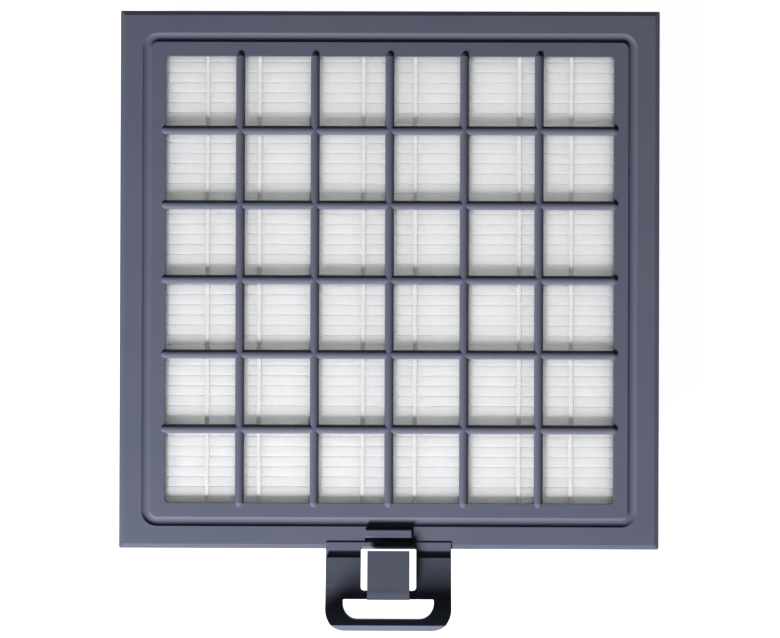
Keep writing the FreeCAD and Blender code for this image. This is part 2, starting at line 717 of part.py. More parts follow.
def build_all():
    """Build every piece, in the order in which the cassette is put together."""
    pieces = [build_cassette_frame(), build_pleated_media()]
    for number in range(1, int(round(value("bead_count"))) + 1):
        pieces.append(build_bead("front_separator_bead_%d" % number, number, FRONT_TIP_Z, 1))
        pieces.append(build_bead("rear_separator_bead_%d" % number, number, REAR_TIP_Z, -1))
    pieces.append(build_end_seal("left_end_seal", -1))
    pieces.append(build_end_seal("right_end_seal", 1))
    pieces.append(build_edge_seal("top_edge_seal", 1))
    pieces.append(build_edge_seal("bottom_edge_seal", -1))
    pieces.append(build_gasket())
    return pieces


def check_document(pieces):
    """Stop if any feature failed or any piece is not one valid solid."""
    for item in doc.Objects:
        if "Invalid" in item.State or "Error" in item.State:
            raise RuntimeError("%s failed: %s" % (item.Label, item.State))
    for piece in pieces:
        shape = piece.Shape
        if shape.isNull() or not shape.isValid() or len(shape.Solids) != 1:
            raise RuntimeError("%s is not one valid solid" % piece.Label)


pieces = build_all()
doc.recompute()
check_document(pieces)
os.makedirs("parts", exist_ok=True)
for piece in pieces:
    piece.Shape.exportStep("parts/%s.step" % piece.Label)
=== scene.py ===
"""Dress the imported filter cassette: moulded frame, folded filter paper, glue threads, seals and foam ring."""

from __future__ import annotations

import logging
import math
from dataclasses import dataclass, field
from enum import Enum

import bpy
import numpy as np
from mathutils import Matrix, Vector, noise

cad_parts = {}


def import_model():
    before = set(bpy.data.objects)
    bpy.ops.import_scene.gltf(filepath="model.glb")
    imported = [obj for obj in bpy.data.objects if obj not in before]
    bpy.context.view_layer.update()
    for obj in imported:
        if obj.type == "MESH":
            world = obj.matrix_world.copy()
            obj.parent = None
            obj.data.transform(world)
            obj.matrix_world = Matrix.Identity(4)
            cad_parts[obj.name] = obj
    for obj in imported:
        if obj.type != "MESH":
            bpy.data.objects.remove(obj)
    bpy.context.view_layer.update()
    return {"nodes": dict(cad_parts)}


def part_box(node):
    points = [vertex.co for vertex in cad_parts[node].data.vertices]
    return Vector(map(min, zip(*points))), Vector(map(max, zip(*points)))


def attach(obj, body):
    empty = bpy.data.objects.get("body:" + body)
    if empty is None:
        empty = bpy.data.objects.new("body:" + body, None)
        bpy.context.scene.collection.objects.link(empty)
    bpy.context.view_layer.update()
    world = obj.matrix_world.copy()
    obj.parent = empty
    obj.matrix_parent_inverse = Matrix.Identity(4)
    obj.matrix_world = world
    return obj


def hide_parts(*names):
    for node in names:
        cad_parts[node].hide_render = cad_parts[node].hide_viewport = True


MM = 0.001
LOG = logging.getLogger("filter_cassette")
Triple = tuple[float, float, float]
Colour = Triple
Line = list[tuple[float, float]]
WHITE: Colour = (1.0, 1.0, 1.0)


class Face(Enum):
    """The two open faces of the folded pack."""

    FRONT = "front"
    REAR = "rear"


class NodeGraph:
    """A material's node tree, with short ways to add and join its nodes."""

    def __init__(self, name: str) -> None:
        """Start a material with an empty tree.

        Args:
            name: Name of the material.
        """
        self.material = bpy.data.materials.new(name)
        self.material.use_nodes = True
        self.tree = self.material.node_tree
        self.tree.nodes.clear()
        self.output = self.add("ShaderNodeOutputMaterial")

    def add(self, kind: str, **settings: object) -> bpy.types.Node:
        """Add a node and set its own settings.

        Args:
            kind: Blender's name of the node's type.
            **settings: Values of the node's properties.

        Returns:
            The new node.
        """
        node = self.tree.nodes.new(kind)
        for name, value in settings.items():
            setattr(node, name, value)
        return node

    def join(self, source: bpy.types.NodeSocket, target: bpy.types.NodeSocket) -> None:
        """Link an output socket to an input socket."""
        self.tree.links.new(source, target)

    def place_mm(self, stretch: Triple = (1, 1, 1), turn_deg: float = 0) -> bpy.types.NodeSocket:
        """Give the place on the piece in millimetres.

        Args:
            stretch: Factor along each axis, above 1 for finer detail along it.
            turn_deg: Turn about the upright axis before the stretch.

        Returns:
            The socket that holds the place.
        """
        place = self.add("ShaderNodeTexCoord")
        mapping = self.add("ShaderNodeMapping")
        mapping.inputs["Rotation"].default_value = (0, 0, math.radians(turn_deg))
        mapping.inputs["Scale"].default_value = [factor / MM for factor in stretch]
        self.join(place.outputs["Object"], mapping.inputs["Vector"])
        return mapping.outputs["Vector"]

    def grain(
        self,
        size_mm: float,
        detail: float = 2,
        stretch: Triple = (1, 1, 1),
        turn_deg: float = 0,
    ) -> bpy.types.NodeSocket:
        """Add a cloudy pattern whose blotches are about as large as stated.

        Args:
            size_mm: Size of a blotch.
            detail: Number of finer layers.
            stretch: Factor along each axis, as in place_mm.
            turn_deg: Turn about the upright axis, as in place_mm.

        Returns:
            The socket that holds the pattern, about 0.5 on average.
        """
        pattern = self.add("ShaderNodeTexNoise")
        pattern.inputs["Scale"].default_value = 1 / size_mm
        pattern.inputs["Detail"].default_value = detail
        self.join(self.place_mm(stretch, turn_deg), pattern.inputs["Vector"])
        return pattern.outputs["Fac"]

    def span(
        self,
        source: bpy.types.NodeSocket,
        low: float,
        high: float,
        ends: tuple[float, float] = (0, 1),
    ) -> bpy.types.NodeSocket:
        """Map a range of a pattern onto another range and clamp it.

        Args:
            source: The pattern.
            low: Value that becomes the first end.
            high: Value that becomes the second end.
            ends: The two ends.

        Returns:
            The socket that holds the mapped value.
        """
        mapped = self.add("ShaderNodeMapRange")
        mapped.inputs["From Min"].default_value = low
        mapped.inputs["From Max"].default_value = high
        mapped.inputs["To Min"].default_value = ends[0]
        mapped.inputs["To Max"].default_value = ends[1]
        self.join(source, mapped.inputs["Value"])
        return mapped.outputs["Result"]

    def blend(
        self,
        factor: bpy.types.NodeSocket,
        first: Colour | bpy.types.NodeSocket,
        second: Colour,
    ) -> bpy.types.NodeSocket:
        """Mix two colours by a pattern.

        Args:
            factor: The pattern, 0 for the first colour and 1 for the second.
            first: A colour, or a socket that holds one.
            second: A colour.

        Returns:
            The socket that holds the mixed colour.
        """
        mix = self.add("ShaderNodeMix", data_type="RGBA")
        if isinstance(first, tuple):
            mix.inputs["A"].default_value = (*first, 1)
        else:
            self.join(first, mix.inputs["A"])
        mix.inputs["B"].default_value = (*second, 1)
        self.join(factor, mix.inputs["Factor"])
        return mix.outputs["Result"]

    def bump(
        self,
        height: bpy.types.NodeSocket,
        depth_mm: float,
        under: bpy.types.NodeSocket | None = None,
    ) -> bpy.types.NodeSocket:
        """Raise the surface by a pattern.

        Args:
            height: The pattern.
            depth_mm: Height between 0 and 1 of the pattern.
            under: Normal that the bump is laid on.

        Returns:
            The socket that holds the bumped normal.
        """
        node = self.add("ShaderNodeBump")
        node.inputs["Strength"].default_value = 1
        node.inputs["Distance"].default_value = depth_mm * MM
        self.join(height, node.inputs["Height"])
        if under is not None:
            self.join(under, node.inputs["Normal"])
        return node.outputs["Normal"]

    def product(self, first: bpy.types.NodeSocket, second: bpy.types.NodeSocket) -> bpy.types.NodeSocket:
        """Multiply two patterns.

        Args:
            first: A pattern.
            second: Another pattern.

        Returns:
            The socket that holds the product.
        """
        node = self.add("ShaderNodeMath", operation="MULTIPLY")
        self.join(first, node.inputs[0])
        self.join(second, node.inputs[1])
        return node.outputs[0]

    def sum_of(self, *parts: tuple[bpy.types.NodeSocket, float]) -> bpy.types.NodeSocket:
        """Add patterns up.

        Args:
            *parts: Patterns, each with its weight.

        Returns:
            The socket that holds the sum.
        """
        total: bpy.types.NodeSocket | None = None
        for source, weight in parts:
            node = self.add("ShaderNodeMath", operation="MULTIPLY_ADD")
            node.inputs[1].default_value = weight
            self.join(source, node.inputs[0])
            if total is None:
                node.inputs[2].default_value = 0
            else:
                self.join(total, node.inputs[2])
            total = node.outputs[0]
        return total

    def principled(self, **values: float | Colour) -> bpy.types.Node:
        """Add the main shader, set its plain values and join it to the output.

        Args:
            **values: Socket names, with underscores for spaces, and their values.

        Returns:
            The shader node.
        """
        shader = self.add("ShaderNodeBsdfPrincipled")
        for name, value in values.items():
            socket = shader.inputs[name.replace("_", " ")]
            socket.default_value = (*value, 1) if socket.type == "RGBA" and len(value) == 3 else value
        self.join(shader.outputs["BSDF"], self.output.inputs["Surface"])
        return shader


@dataclass(frozen=True)
class MouldedPlastic:
    """Slate-blue plastic from a finely eroded mould, with edges painted paler in patches, partly as wear and
    partly as a painted highlight, and a soft sheen.
    """

    colour: Colour = (0.109, 0.119, 0.169)
    cloud_colour: Colour = (0.117, 0.126, 0.173)
    edge_wear_and_highlight_colour: Colour = (0.160, 0.170, 0.215)
    mirror_level: float = 0.06
    roughness: tuple[float, float] = (0.50, 0.62)
    cloud_mm: float = 24
    smear_mm: float = 14
    speck_mm: float = 0.5
    edge_wear_and_highlight_patch_mm: float = 2.5
    edge_wear_and_highlight_share: tuple[float, float] = (0.15, 0.8)
    edge_round_mm: float = 0.22
    grain_mm: float = 0.16
    coarse_grain_mm: float = 1.1
    grain_depth_mm: float = 0.006

    def edge_wear_and_highlight_mask(self, graph: NodeGraph, rounded: bpy.types.NodeSocket) -> bpy.types.NodeSocket:
        """Find the edges, where the rounded normal turns away from the face's own, in patches: there the colour
        is painted paler, partly as wear and partly as a painted highlight.

        Args:
            graph: The material's tree.
            rounded: The rounded normal.

        Returns:
            The socket that is 0 on a face and up to 1 on an edge with wear and painted highlight.
        """
        facing = graph.add("ShaderNodeVectorMath", operation="DOT_PRODUCT")
        flat = graph.add("ShaderNodeNewGeometry")
        graph.join(rounded, facing.inputs[0])
        graph.join(flat.outputs["Normal"], facing.inputs[1])
        edge = graph.span(facing.outputs["Value"], 0.995, 0.80)
        patchy = graph.span(graph.grain(self.edge_wear_and_highlight_patch_mm, 3), 0.35, 0.75, self.edge_wear_and_highlight_share)
        return graph.product(edge, patchy)

    def build(self) -> bpy.types.Material:
        """Build the material.

        Returns:
            The material.
        """
        graph = NodeGraph("moulded_plastic")
        shader = graph.principled(Specular_IOR_Level=self.mirror_level, IOR=1.5)
        bevel = graph.add("ShaderNodeBevel", samples=6)
        bevel.inputs["Radius"].default_value = self.edge_round_mm * MM
        rounded = bevel.outputs["Normal"]
        edge_wear_and_highlight = self.edge_wear_and_highlight_mask(graph, rounded)
        cloud = graph.span(graph.grain(self.cloud_mm, 2), 0.35, 0.65)
        body = graph.blend(cloud, self.colour, self.cloud_colour)
        # Paler colour on the edges: partly wear, partly a painted highlight.
        graph.join(graph.blend(edge_wear_and_highlight, body, self.edge_wear_and_highlight_colour), shader.inputs["Base Color"])
        gloss = graph.sum_of((graph.grain(self.smear_mm, 2), 0.10), (graph.grain(self.speck_mm, 2), 0.10))
        graph.join(graph.span(gloss, 0.05, 0.15, self.roughness), shader.inputs["Roughness"])
        fine, coarse = graph.grain(self.grain_mm, 2), graph.grain(self.coarse_grain_mm, 1)
        relief = graph.sum_of((fine, 1.0), (coarse, 0.5))
        graph.join(graph.bump(relief, self.grain_depth_mm, rounded), shader.inputs["Normal"])
        return graph.material


@dataclass(frozen=True)
class FilterPaper:
    """White felted sheet: crossed fibres, faint clouds where it is denser, light that spreads inside."""

    colour: Colour = (0.94, 0.94, 0.945)
    dense_colour: Colour = (0.91, 0.912, 0.91)
    roughness: float = 0.85
    mirror_level: float = 0.15
    spread_mm: float = 30
    spread_share: float = 0.8
    cloud_mm: float = 3.2
    speck_mm: float = 0.35
    fibre_mm: float = 0.14
    fibre_long: float = 6.25
    fibre_turns_deg: Triple = (8, 67, -52)
    clump_mm: float = 0.9
    fibre_depth_mm: float = 0.035

    def build(self) -> bpy.types.Material:
        """Build the material.

        Returns:
            The material.
        """
        graph = NodeGraph("filter_paper")
        shader = graph.principled(
            Roughness=self.roughness,
            Specular_IOR_Level=self.mirror_level,
            Subsurface_Weight=self.spread_share,
            Subsurface_Scale=self.spread_mm * MM,
            Subsurface_Radius=(1.0, 1.0, 0.92),
            Sheen_Weight=0.08,
            Sheen_Roughness=0.6,
        )
        clouds = graph.span(graph.grain(self.cloud_mm, 4), 0.38, 0.68)
        speckle = graph.span(graph.grain(self.speck_mm, 2), 0.62, 0.78, (0, 0.6))
        mottled = graph.blend(clouds, self.colour, self.dense_colour)
        graph.join(graph.blend(speckle, mottled, self.colour), shader.inputs["Base Color"])
        along = (1 / self.fibre_long, 1, 1)
        crossed = [(graph.grain(self.fibre_mm, 1, along, turn), 0.34) for turn in self.fibre_turns_deg]
        felt = graph.sum_of(*crossed, (graph.grain(self.clump_mm, 3), 0.9))
        graph.join(graph.bump(felt, self.fibre_depth_mm), shader.inputs["Normal"])
        return graph.material


@dataclass(frozen=True)
class ClearGlue:
    """Milky glue: smooth skin with small waves, and tiny bubbles that show as paler specks."""

    name: str
    colour: Colour
    bubble_colour: Colour
    wave_mm: float
    roughness: float = 0.35
    mirror_level: float = 0.15
    spread_mm: float = 6
    spread_share: float = 0.25
    bubble_mm: float = 0.4
    smear_mm: float = 1.8
    ripple_mm: float = 0.3
    wave_depth_mm: float = 0.08

    def build(self) -> bpy.types.Material:
        """Build the material.

        Returns:
            The material.
        """
        graph = NodeGraph(self.name)
        shader = graph.principled(
            Specular_IOR_Level=self.mirror_level,
            Subsurface_Weight=self.spread_share,
            Subsurface_Scale=self.spread_mm * MM,
            Subsurface_Radius=(1.0, 0.95, 0.85),
        )
        bubbles = graph.span(graph.grain(self.bubble_mm, 1), 0.62, 0.72)
        graph.join(graph.blend(bubbles, self.colour, self.bubble_colour), shader.inputs["Base Color"])
        ends = (self.roughness * 0.8, self.roughness * 1.3)
        graph.join(graph.span(graph.grain(self.smear_mm, 2), 0.3, 0.7, ends), shader.inputs["Roughness"])
        waves = graph.sum_of((graph.grain(self.wave_mm, 2), 1.0), (graph.grain(self.ripple_mm, 1), 0.15))
        graph.join(graph.bump(waves, self.wave_depth_mm), shader.inputs["Normal"])
        return graph.material


@dataclass(frozen=True)
class CellFoam:
    """Black closed-cell foam: cut cells as small pits, paler grey on the high spots between them, in cloudy
    patches.
    """

    colour: Colour = (0.022, 0.022, 0.024)
    high_spot_colour: Colour = (0.060, 0.060, 0.062)
    mirror_level: float = 0.25
    cell_mm: float = 0.45
    cell_depth_mm: float = 0.12
    high_spot_patch_mm: float = 6
    roughness: tuple[float, float] = (0.95, 0.75)

    def build(self) -> bpy.types.Material:
        """Build the material.

        Returns:
            The material.
        """
        graph = NodeGraph("cell_foam")
        shader = graph.principled(Specular_IOR_Level=self.mirror_level)
        cells = graph.add("ShaderNodeTexVoronoi", feature="F1")
        cells.inputs["Scale"].default_value = 1 / self.cell_mm
        graph.join(graph.place_mm(), cells.inputs["Vector"])
        walls = graph.span(cells.outputs["Distance"], 0.15, 0.75)
        high_spots = graph.product(walls, graph.span(graph.grain(self.high_spot_patch_mm, 3), 0.4, 0.75))
        # Paler grey on the high spots between the pits, darker in the pits.
        graph.join(graph.blend(high_spots, self.colour, self.high_spot_colour), shader.inputs["Base Color"])
        graph.join(graph.span(walls, 0, 1, self.roughness), shader.inputs["Roughness"])
        graph.join(graph.bump(walls, self.cell_depth_mm), shader.inputs["Normal"])
        return graph.material


def new_mesh(
    name: str,
    corners: np.ndarray,
    faces: np.ndarray | list[tuple[int, ...]],
    smooth: bool = True,
) -> bpy.types.Object:
    """Make a mesh object.

    Args:
        name: Name of the piece.
        corners: Places of the corners, in metres.
        faces: Corner numbers of each face.
        smooth: Whether the faces are shaded smoothly.

    Returns:
        The object, linked to the scene.
    """
    mesh = bpy.data.meshes.new(name)
    places = [tuple(map(float, corner)) for corner in corners]
    mesh.from_pydata(places, [], [tuple(map(int, face)) for face in faces])
    mesh.validate()
    mesh.update()
    if smooth:
        mesh.shade_smooth()
    piece = bpy.data.objects.new(name, mesh)
    bpy.context.scene.collection.objects.link(piece)
    return piece


def grid_faces(
    rows: int,
    columns: int,
    start: int = 0,
    wrap_rows: bool = False,
    wrap_columns: bool = False,
    flip: bool = False,
) -> np.ndarray:
    """List the faces of a grid of corners that are numbered row by row.

    Args:
        rows: Number of rows of corners.
        columns: Number of corners in a row.
        start: Number of the first corner.
        wrap_rows: Whether the last row joins the first.
        wrap_columns: Whether the last corner of a row joins the first.
        flip: Whether the faces look the other way.

    Returns:
        An array with four corner numbers a face.
    """
    row = np.arange(rows if wrap_rows else rows - 1)
    column = np.arange(columns if wrap_columns else columns - 1)
    row, column = (grid.ravel() for grid in np.meshgrid(row, column, indexing="ij"))
    next_row, next_column = (row + 1) % rows, (column + 1) % columns
    faces = np.stack(
        [
            row * columns + column,
            row * columns + next_column,
            next_row * columns + next_column,
            next_row * columns + column,
        ],
        axis=1,
    )
    return start + (faces[:, ::-1] if flip else faces)


def wander(first: float, second: float, third: float = 0.0) -> float:
    """Give a smooth value between about -1 and 1 that differs from place to place."""
    return noise.noise(Vector((first, second, third)))


@dataclass
class FoldedPaper:
    """The filter paper, folded to and fro across the cassette.

    The folds are pressed together at the front, with a shallow groove between neighbours, and the hollows
    inside them open to the rear. So light spreads in the pack as it does in real felt.

    Attributes:
        low: Lowest corner of the box that the sheet fills.
        high: Highest corner of that box.
        material: The finish of the sheet.
        fold_count: Number of front folds.
        pitch_mm: Spacing of the folds.
        thick_mm: Thickness of the sheet.
        mouth_mm: Width of the groove between two front folds.
        crest_round_mm: Radius at each side of a crest.
        crown_mm: How far a crest rises to its middle.
        groove_mm: Straight depth of the groove, below the rounds.
        groove_bow: Further depth at the middle of the groove, as a share of the round.
        pressed_mm: From the crests down to where the hollows inside the folds begin.
        rear_rise_mm: Height of a rear bend.
        stations: Number of places across at which the folds are drawn.
        corner_points: Steps of a round.
        bend_points: Points of a bend.
        sway_mm: How far a loose fold strays along Y.
        sway_rate: Waves of that sway in a metre, about.
        droop_mm: How far a loose crest hangs.
        droop_rate: Waves of that droop in a metre, about.
        held_reach_mm: How far from a thread the paper is still held.
        held_share: Share of sway and droop that is left at a thread.
        thread_places: Where the threads lie along X.
    """

    low: Vector
    high: Vector
    material: bpy.types.Material
    fold_count: int = 45
    pitch_mm: float = 3.05
    thick_mm: float = 0.8
    mouth_mm: float = 0.1
    crest_round_mm: float = 0.2
    crown_mm: float = 0.012
    groove_mm: float = 0.12
    groove_bow: float = 0.3
    pressed_mm: float = 8.0
    rear_rise_mm: float = 0.6
    stations: int = 50
    corner_points: int = 4
    bend_points: int = 7
    sway_mm: float = 0.16
    sway_rate: float = 40
    droop_mm: float = 0.06
    droop_rate: float = 60
    held_reach_mm: float = 4
    held_share: float = 0.35
    thread_places: list[float] = field(default_factory=list)

    @property
    def front_width(self) -> float:
        """Outer width of a front fold, in metres."""
        return (self.pitch_mm - self.mouth_mm) * MM

    def fold_middle(self, index: int) -> float:
        """Place along Y of the middle of a front fold."""
        return self.low.y + index * self.pitch_mm * MM + self.front_width / 2

    def looseness(self, across: float) -> float:
        """Tell how free the paper is at a place across: 0 at a glue thread, 1 far from one."""
        nearest = min((abs(across - place) for place in self.thread_places), default=1.0)
        return 1 - math.exp(-((nearest / (self.held_reach_mm * MM)) ** 2))

    def tip_shift(self, across: float, index: int) -> tuple[float, float]:
        """Give how a fold departs from its even place: neighbours sway together, and each sags alone.

        Args:
            across: Place along X.
            index: Number of the fold.

        Returns:
            The shift along Y and the shift along Z, in metres.
        """
        free = self.held_share + (1 - self.held_share) * self.looseness(across)
        sway = self.sway_mm * MM * free * wander(across * self.sway_rate, index * 0.22)
        sag = 0.5 + 0.5 * wander(across * self.droop_rate, index * 3.7, 4)
        return sway, -self.droop_mm * MM * sag * free

    def crest(self, half: float, corner: float) -> Line:
        """Draw the crest of a fold: almost flat on top, with a small round at each side.

        Args:
            half: Half the width of the fold.
            corner: Radius of the rounds.

        Returns:
            Places across the fold and below its top, from one side to the other.
        """
        crown = self.crown_mm * MM
        flat = half - corner
        low_side: Line = []
        for step in range(self.corner_points + 1):
            turn = math.pi / 2 * step / self.corner_points
            low_side.append((-flat - corner * math.cos(turn), -crown - corner + corner * math.sin(turn)))
        top = [(flat * share, -crown * share * share) for share in (-0.5, 0.0, 0.5)]
        return low_side + top + [(-across, drop) for across, drop in reversed(low_side)]

    def profile(self, across: float) -> tuple[Line, Line]:
        """Follow both sides of the sheet through all folds at one place across.

        Args:
            across: Place along X.

        Returns:
            The outer and the inner line as lists of places along Y and Z, with like counts.
        """
        thick = self.thick_mm * MM
        half = self.front_width / 2
        corner = self.crest_round_mm * MM
        crest = self.crest(half, corner)
        hollow = self.crest(half - thick, corner)
        outer: Line = []
        inner: Line = []
        rear_half = self.pitch_mm * MM / 2 - (half - thick)
        valley = self.high.z - corner - self.groove_mm * MM
        turns = [math.pi * (1 - step / (self.bend_points - 1)) for step in range(self.bend_points)]
        for index in range(self.fold_count):
            sway, droop = self.tip_shift(across, index)
            middle = self.fold_middle(index) + sway
            tip = self.high.z + droop
            outer += [(middle + aside, tip + drop) for aside, drop in crest]
            inner += [(middle + aside, tip - self.pressed_mm * MM + drop) for aside, drop in hollow]
            if index == self.fold_count - 1:
                break
            next_sway = self.tip_shift(across, index + 1)[0]
            bend = self.fold_middle(index) + self.pitch_mm * MM / 2
            for turn in turns:
                reach, depth = math.cos(turn), math.sin(turn)
                side_sway = sway + (next_sway - sway) * (1 + reach) / 2
                mouth = bend + side_sway + self.mouth_mm * MM / 2 * reach
                outer.append((mouth, valley - self.groove_bow * corner * depth))
                inner.append((bend + rear_half * reach, self.low.z + self.rear_rise_mm * MM * (1 - depth)))
        return outer, inner

    def build(self) -> bpy.types.Object:
        """Build the sheet.

        Returns:
            The piece, riding on the root body in place of its CAD node.
        """
        places = np.linspace(self.low.x, self.high.x, self.stations)
        lines = [self.profile(float(across)) for across in places]
        count = len(lines[0][0])
        corners = np.zeros((2, self.stations, count, 3))
        for number, (across, sides) in enumerate(zip(places, lines)):
            for side, line in enumerate(sides):
                corners[side, number, :, 0] = across
                corners[side, number, :, 1:] = line
        sheet_size = self.stations * count
        faces = [
            grid_faces(self.stations, count, flip=True),
            grid_faces(self.stations, count, start=sheet_size),
        ]
        # The cut ends and the free edges join the two sides of the sheet.
        for row, flip in ((0, False), (self.stations - 1, True)):
            first = row * count + np.arange(count - 1)
            strip = np.stack([first, first + 1, first + 1 + sheet_size, first + sheet_size], axis=1)
            faces.append(strip[:, ::-1] if flip else strip)
        for column, flip in ((0, True), (count - 1, False)):
            first = column + np.arange(self.stations - 1) * count
            strip = np.stack([first, first + count, first + count + sheet_size, first + sheet_size], axis=1)
            faces.append(strip[:, ::-1] if flip else strip)
        piece = new_mesh("pleated_sheet", corners.reshape(-1, 3), np.concatenate(faces))
        piece.data.materials.append(self.material)
        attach(piece, "root")
        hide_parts("pleated_media")
        return piece


@dataclass
class GlueThread:
    """One thread of hot-melt glue laid over the folds: it clings to each crest and sags between them.

    Attributes:
        node: The CAD node that the thread stands for.
        face: The face of the pack that it lies on.
        paper: The sheet below it.
        material: The finish of the thread.
        width_mm: Its width.
        rise_mm: Its height above the crests.
        seat_mm: How far it reaches down into the grooves.
        sag_mm: How far it hangs between two crests.
        sag_power: Higher for a sag that stays in the groove's middle.
        uneven_share: How much its width changes along it.
        tip_swell: How much wider it is on a crest.
        stray_mm: How far it strays from a straight line.
        ring_points: Points round its section.
        steps_per_fold: Sections from one fold to the next.
    """

    node: str
    face: Face
    paper: FoldedPaper
    material: bpy.types.Material
    width_mm: float = 1.3
    rise_mm: float = 0.05
    seat_mm: float = 0.3
    sag_mm: float = 0.05
    sag_power: float = 2.5
    uneven_share: float = 0.15
    tip_swell: float = 0.08
    stray_mm: float = 0.12
    ring_points: int = 8
    steps_per_fold: int = 8

    def ring(self, across: float, along: float, near_tip: float) -> Line:
        """Draw the section of the thread at one place.

        Args:
            across: Place of the thread along X.
            along: Place along the thread, in folds.
            near_tip: 1 at a crest and 0 between two crests.

        Returns:
            Places along X and outwards from the folds.
        """
        swell = 1 + self.uneven_share * wander(along * 0.8, across * 300) + self.tip_swell * near_tip
        shift = self.stray_mm * MM * wander(along * 0.35, across * 500, 3)
        points: Line = []
        for step in range(self.ring_points):
            turn = 2 * math.pi * step / self.ring_points
            height = self.rise_mm * MM * swell if math.sin(turn) > 0 else self.seat_mm * MM
            wide = across + shift + self.width_mm * MM / 2 * swell * math.cos(turn)
            points.append((wide, height * math.sin(turn)))
        return points

    def build(self) -> bpy.types.Object:
        """Build the thread.

        Returns:
            The piece, riding on the root body in place of its CAD node.
        """
        low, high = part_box(self.node)
        across = (low.x + high.x) / 2
        in_front = self.face is Face.FRONT
        outward = 1 if in_front else -1
        base = low.z if in_front else high.z
        offset = 0.0 if in_front else 0.5
        rows = self.paper.fold_count * self.steps_per_fold + 1
        corners = []
        for row in range(rows):
            place = low.y + (high.y - low.y) * row / (rows - 1)
            phase = (place - self.paper.fold_middle(0)) / (self.paper.pitch_mm * MM) - offset
            near_tip = 0.5 + 0.5 * math.cos(2 * math.pi * phase)
            droop = self.paper.tip_shift(across, int(round(phase)))[1] if in_front else 0.0
            sag = self.sag_mm * MM * (1 - near_tip) ** self.sag_power
            for wide, lift in self.ring(across, row / self.steps_per_fold, near_tip):
                corners.append((wide, place, base + outward * (lift - sag) + droop))
        sides = grid_faces(rows, self.ring_points, wrap_columns=True, flip=in_front)
        first = tuple(range(self.ring_points))
        last = tuple(range((rows - 1) * self.ring_points, rows * self.ring_points))
        faces = [tuple(face) for face in sides]
        faces.append(first if in_front else first[::-1])
        faces.append(last[::-1] if in_front else last)
        piece = new_mesh(self.node.replace("separator_bead", "glue_thread"), np.array(corners), faces)
        piece.data.materials.append(self.material)
        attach(piece, "root")
        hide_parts(self.node)
        return piece


@dataclass
class CastSeal:
    """Cast glue between the pack and a wall: flat against the frame, and wavy at the rear where it set.

    Attributes:
        node: The CAD node that the seal stands for.
        material: The finish of the glue.
        wave_mm: Scale of its rear surface's rise and waves.
        hollow_share: Share of that in the rise between the two walls.
        uneven_share: Share of that in the waves.
        cells_long: Steps along the seal.
        cells_short: Steps across it.
    """

    node: str
    material: bpy.types.Material
    wave_mm: float = 0.35
    hollow_share: float = 0.6
    uneven_share: float = 0.4
    cells_long: int = 110
    cells_short: int = 4

    def rear_rise(self, along: float, across: float, share: float) -> float:
        """Give how far the glue set above its box's rear: creeping up between its two walls.

        Args:
            along: Place along the seal.
            across: Place across it.
            share: The same as a share of its width.

        Returns:
            The rise, in metres.
        """
        hollow = math.sin(math.pi * share) * self.hollow_share
        uneven = self.uneven_share * (1 + wander(along * 160, across * 300, 2))
        return self.wave_mm * MM * (hollow + uneven)

    def build(self) -> bpy.types.Object:
        """Build the seal.

        Returns:
            The piece, riding on the root body in place of its CAD node.
        """
        low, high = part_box(self.node)
        long_axis = 0 if high.x - low.x > high.y - low.y else 1
        short_axis = 1 - long_axis
        rows, columns = self.cells_long + 1, 2 * (self.cells_short + 1)
        corners = np.zeros((rows, columns, 3))
        for row in range(rows):
            along = low[long_axis] + (high[long_axis] - low[long_axis]) * row / self.cells_long
            for column in range(columns):
                on_rear = column <= self.cells_short
                step = column if on_rear else columns - 1 - column
                share = step / self.cells_short
                across = low[short_axis] + (high[short_axis] - low[short_axis]) * share
                corners[row, column, long_axis] = along
                corners[row, column, short_axis] = across
                corners[row, column, 2] = low.z + self.rear_rise(along, across, share) if on_rear else high.z
        flip = long_axis == 1
        faces = [tuple(face) for face in grid_faces(rows, columns, wrap_columns=True, flip=flip)]
        first = tuple(range(columns))
        last = tuple(range((rows - 1) * columns, rows * columns))
        faces.append(first[::-1] if not flip else first)
        faces.append(last if not flip else last[::-1])
        piece = new_mesh(self.node.replace("_seal", "_glue"), corners.reshape(-1, 3), faces, smooth=False)
        piece.data.materials.append(self.material)
        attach(piece, "root")
        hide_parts(self.node)
        return piece


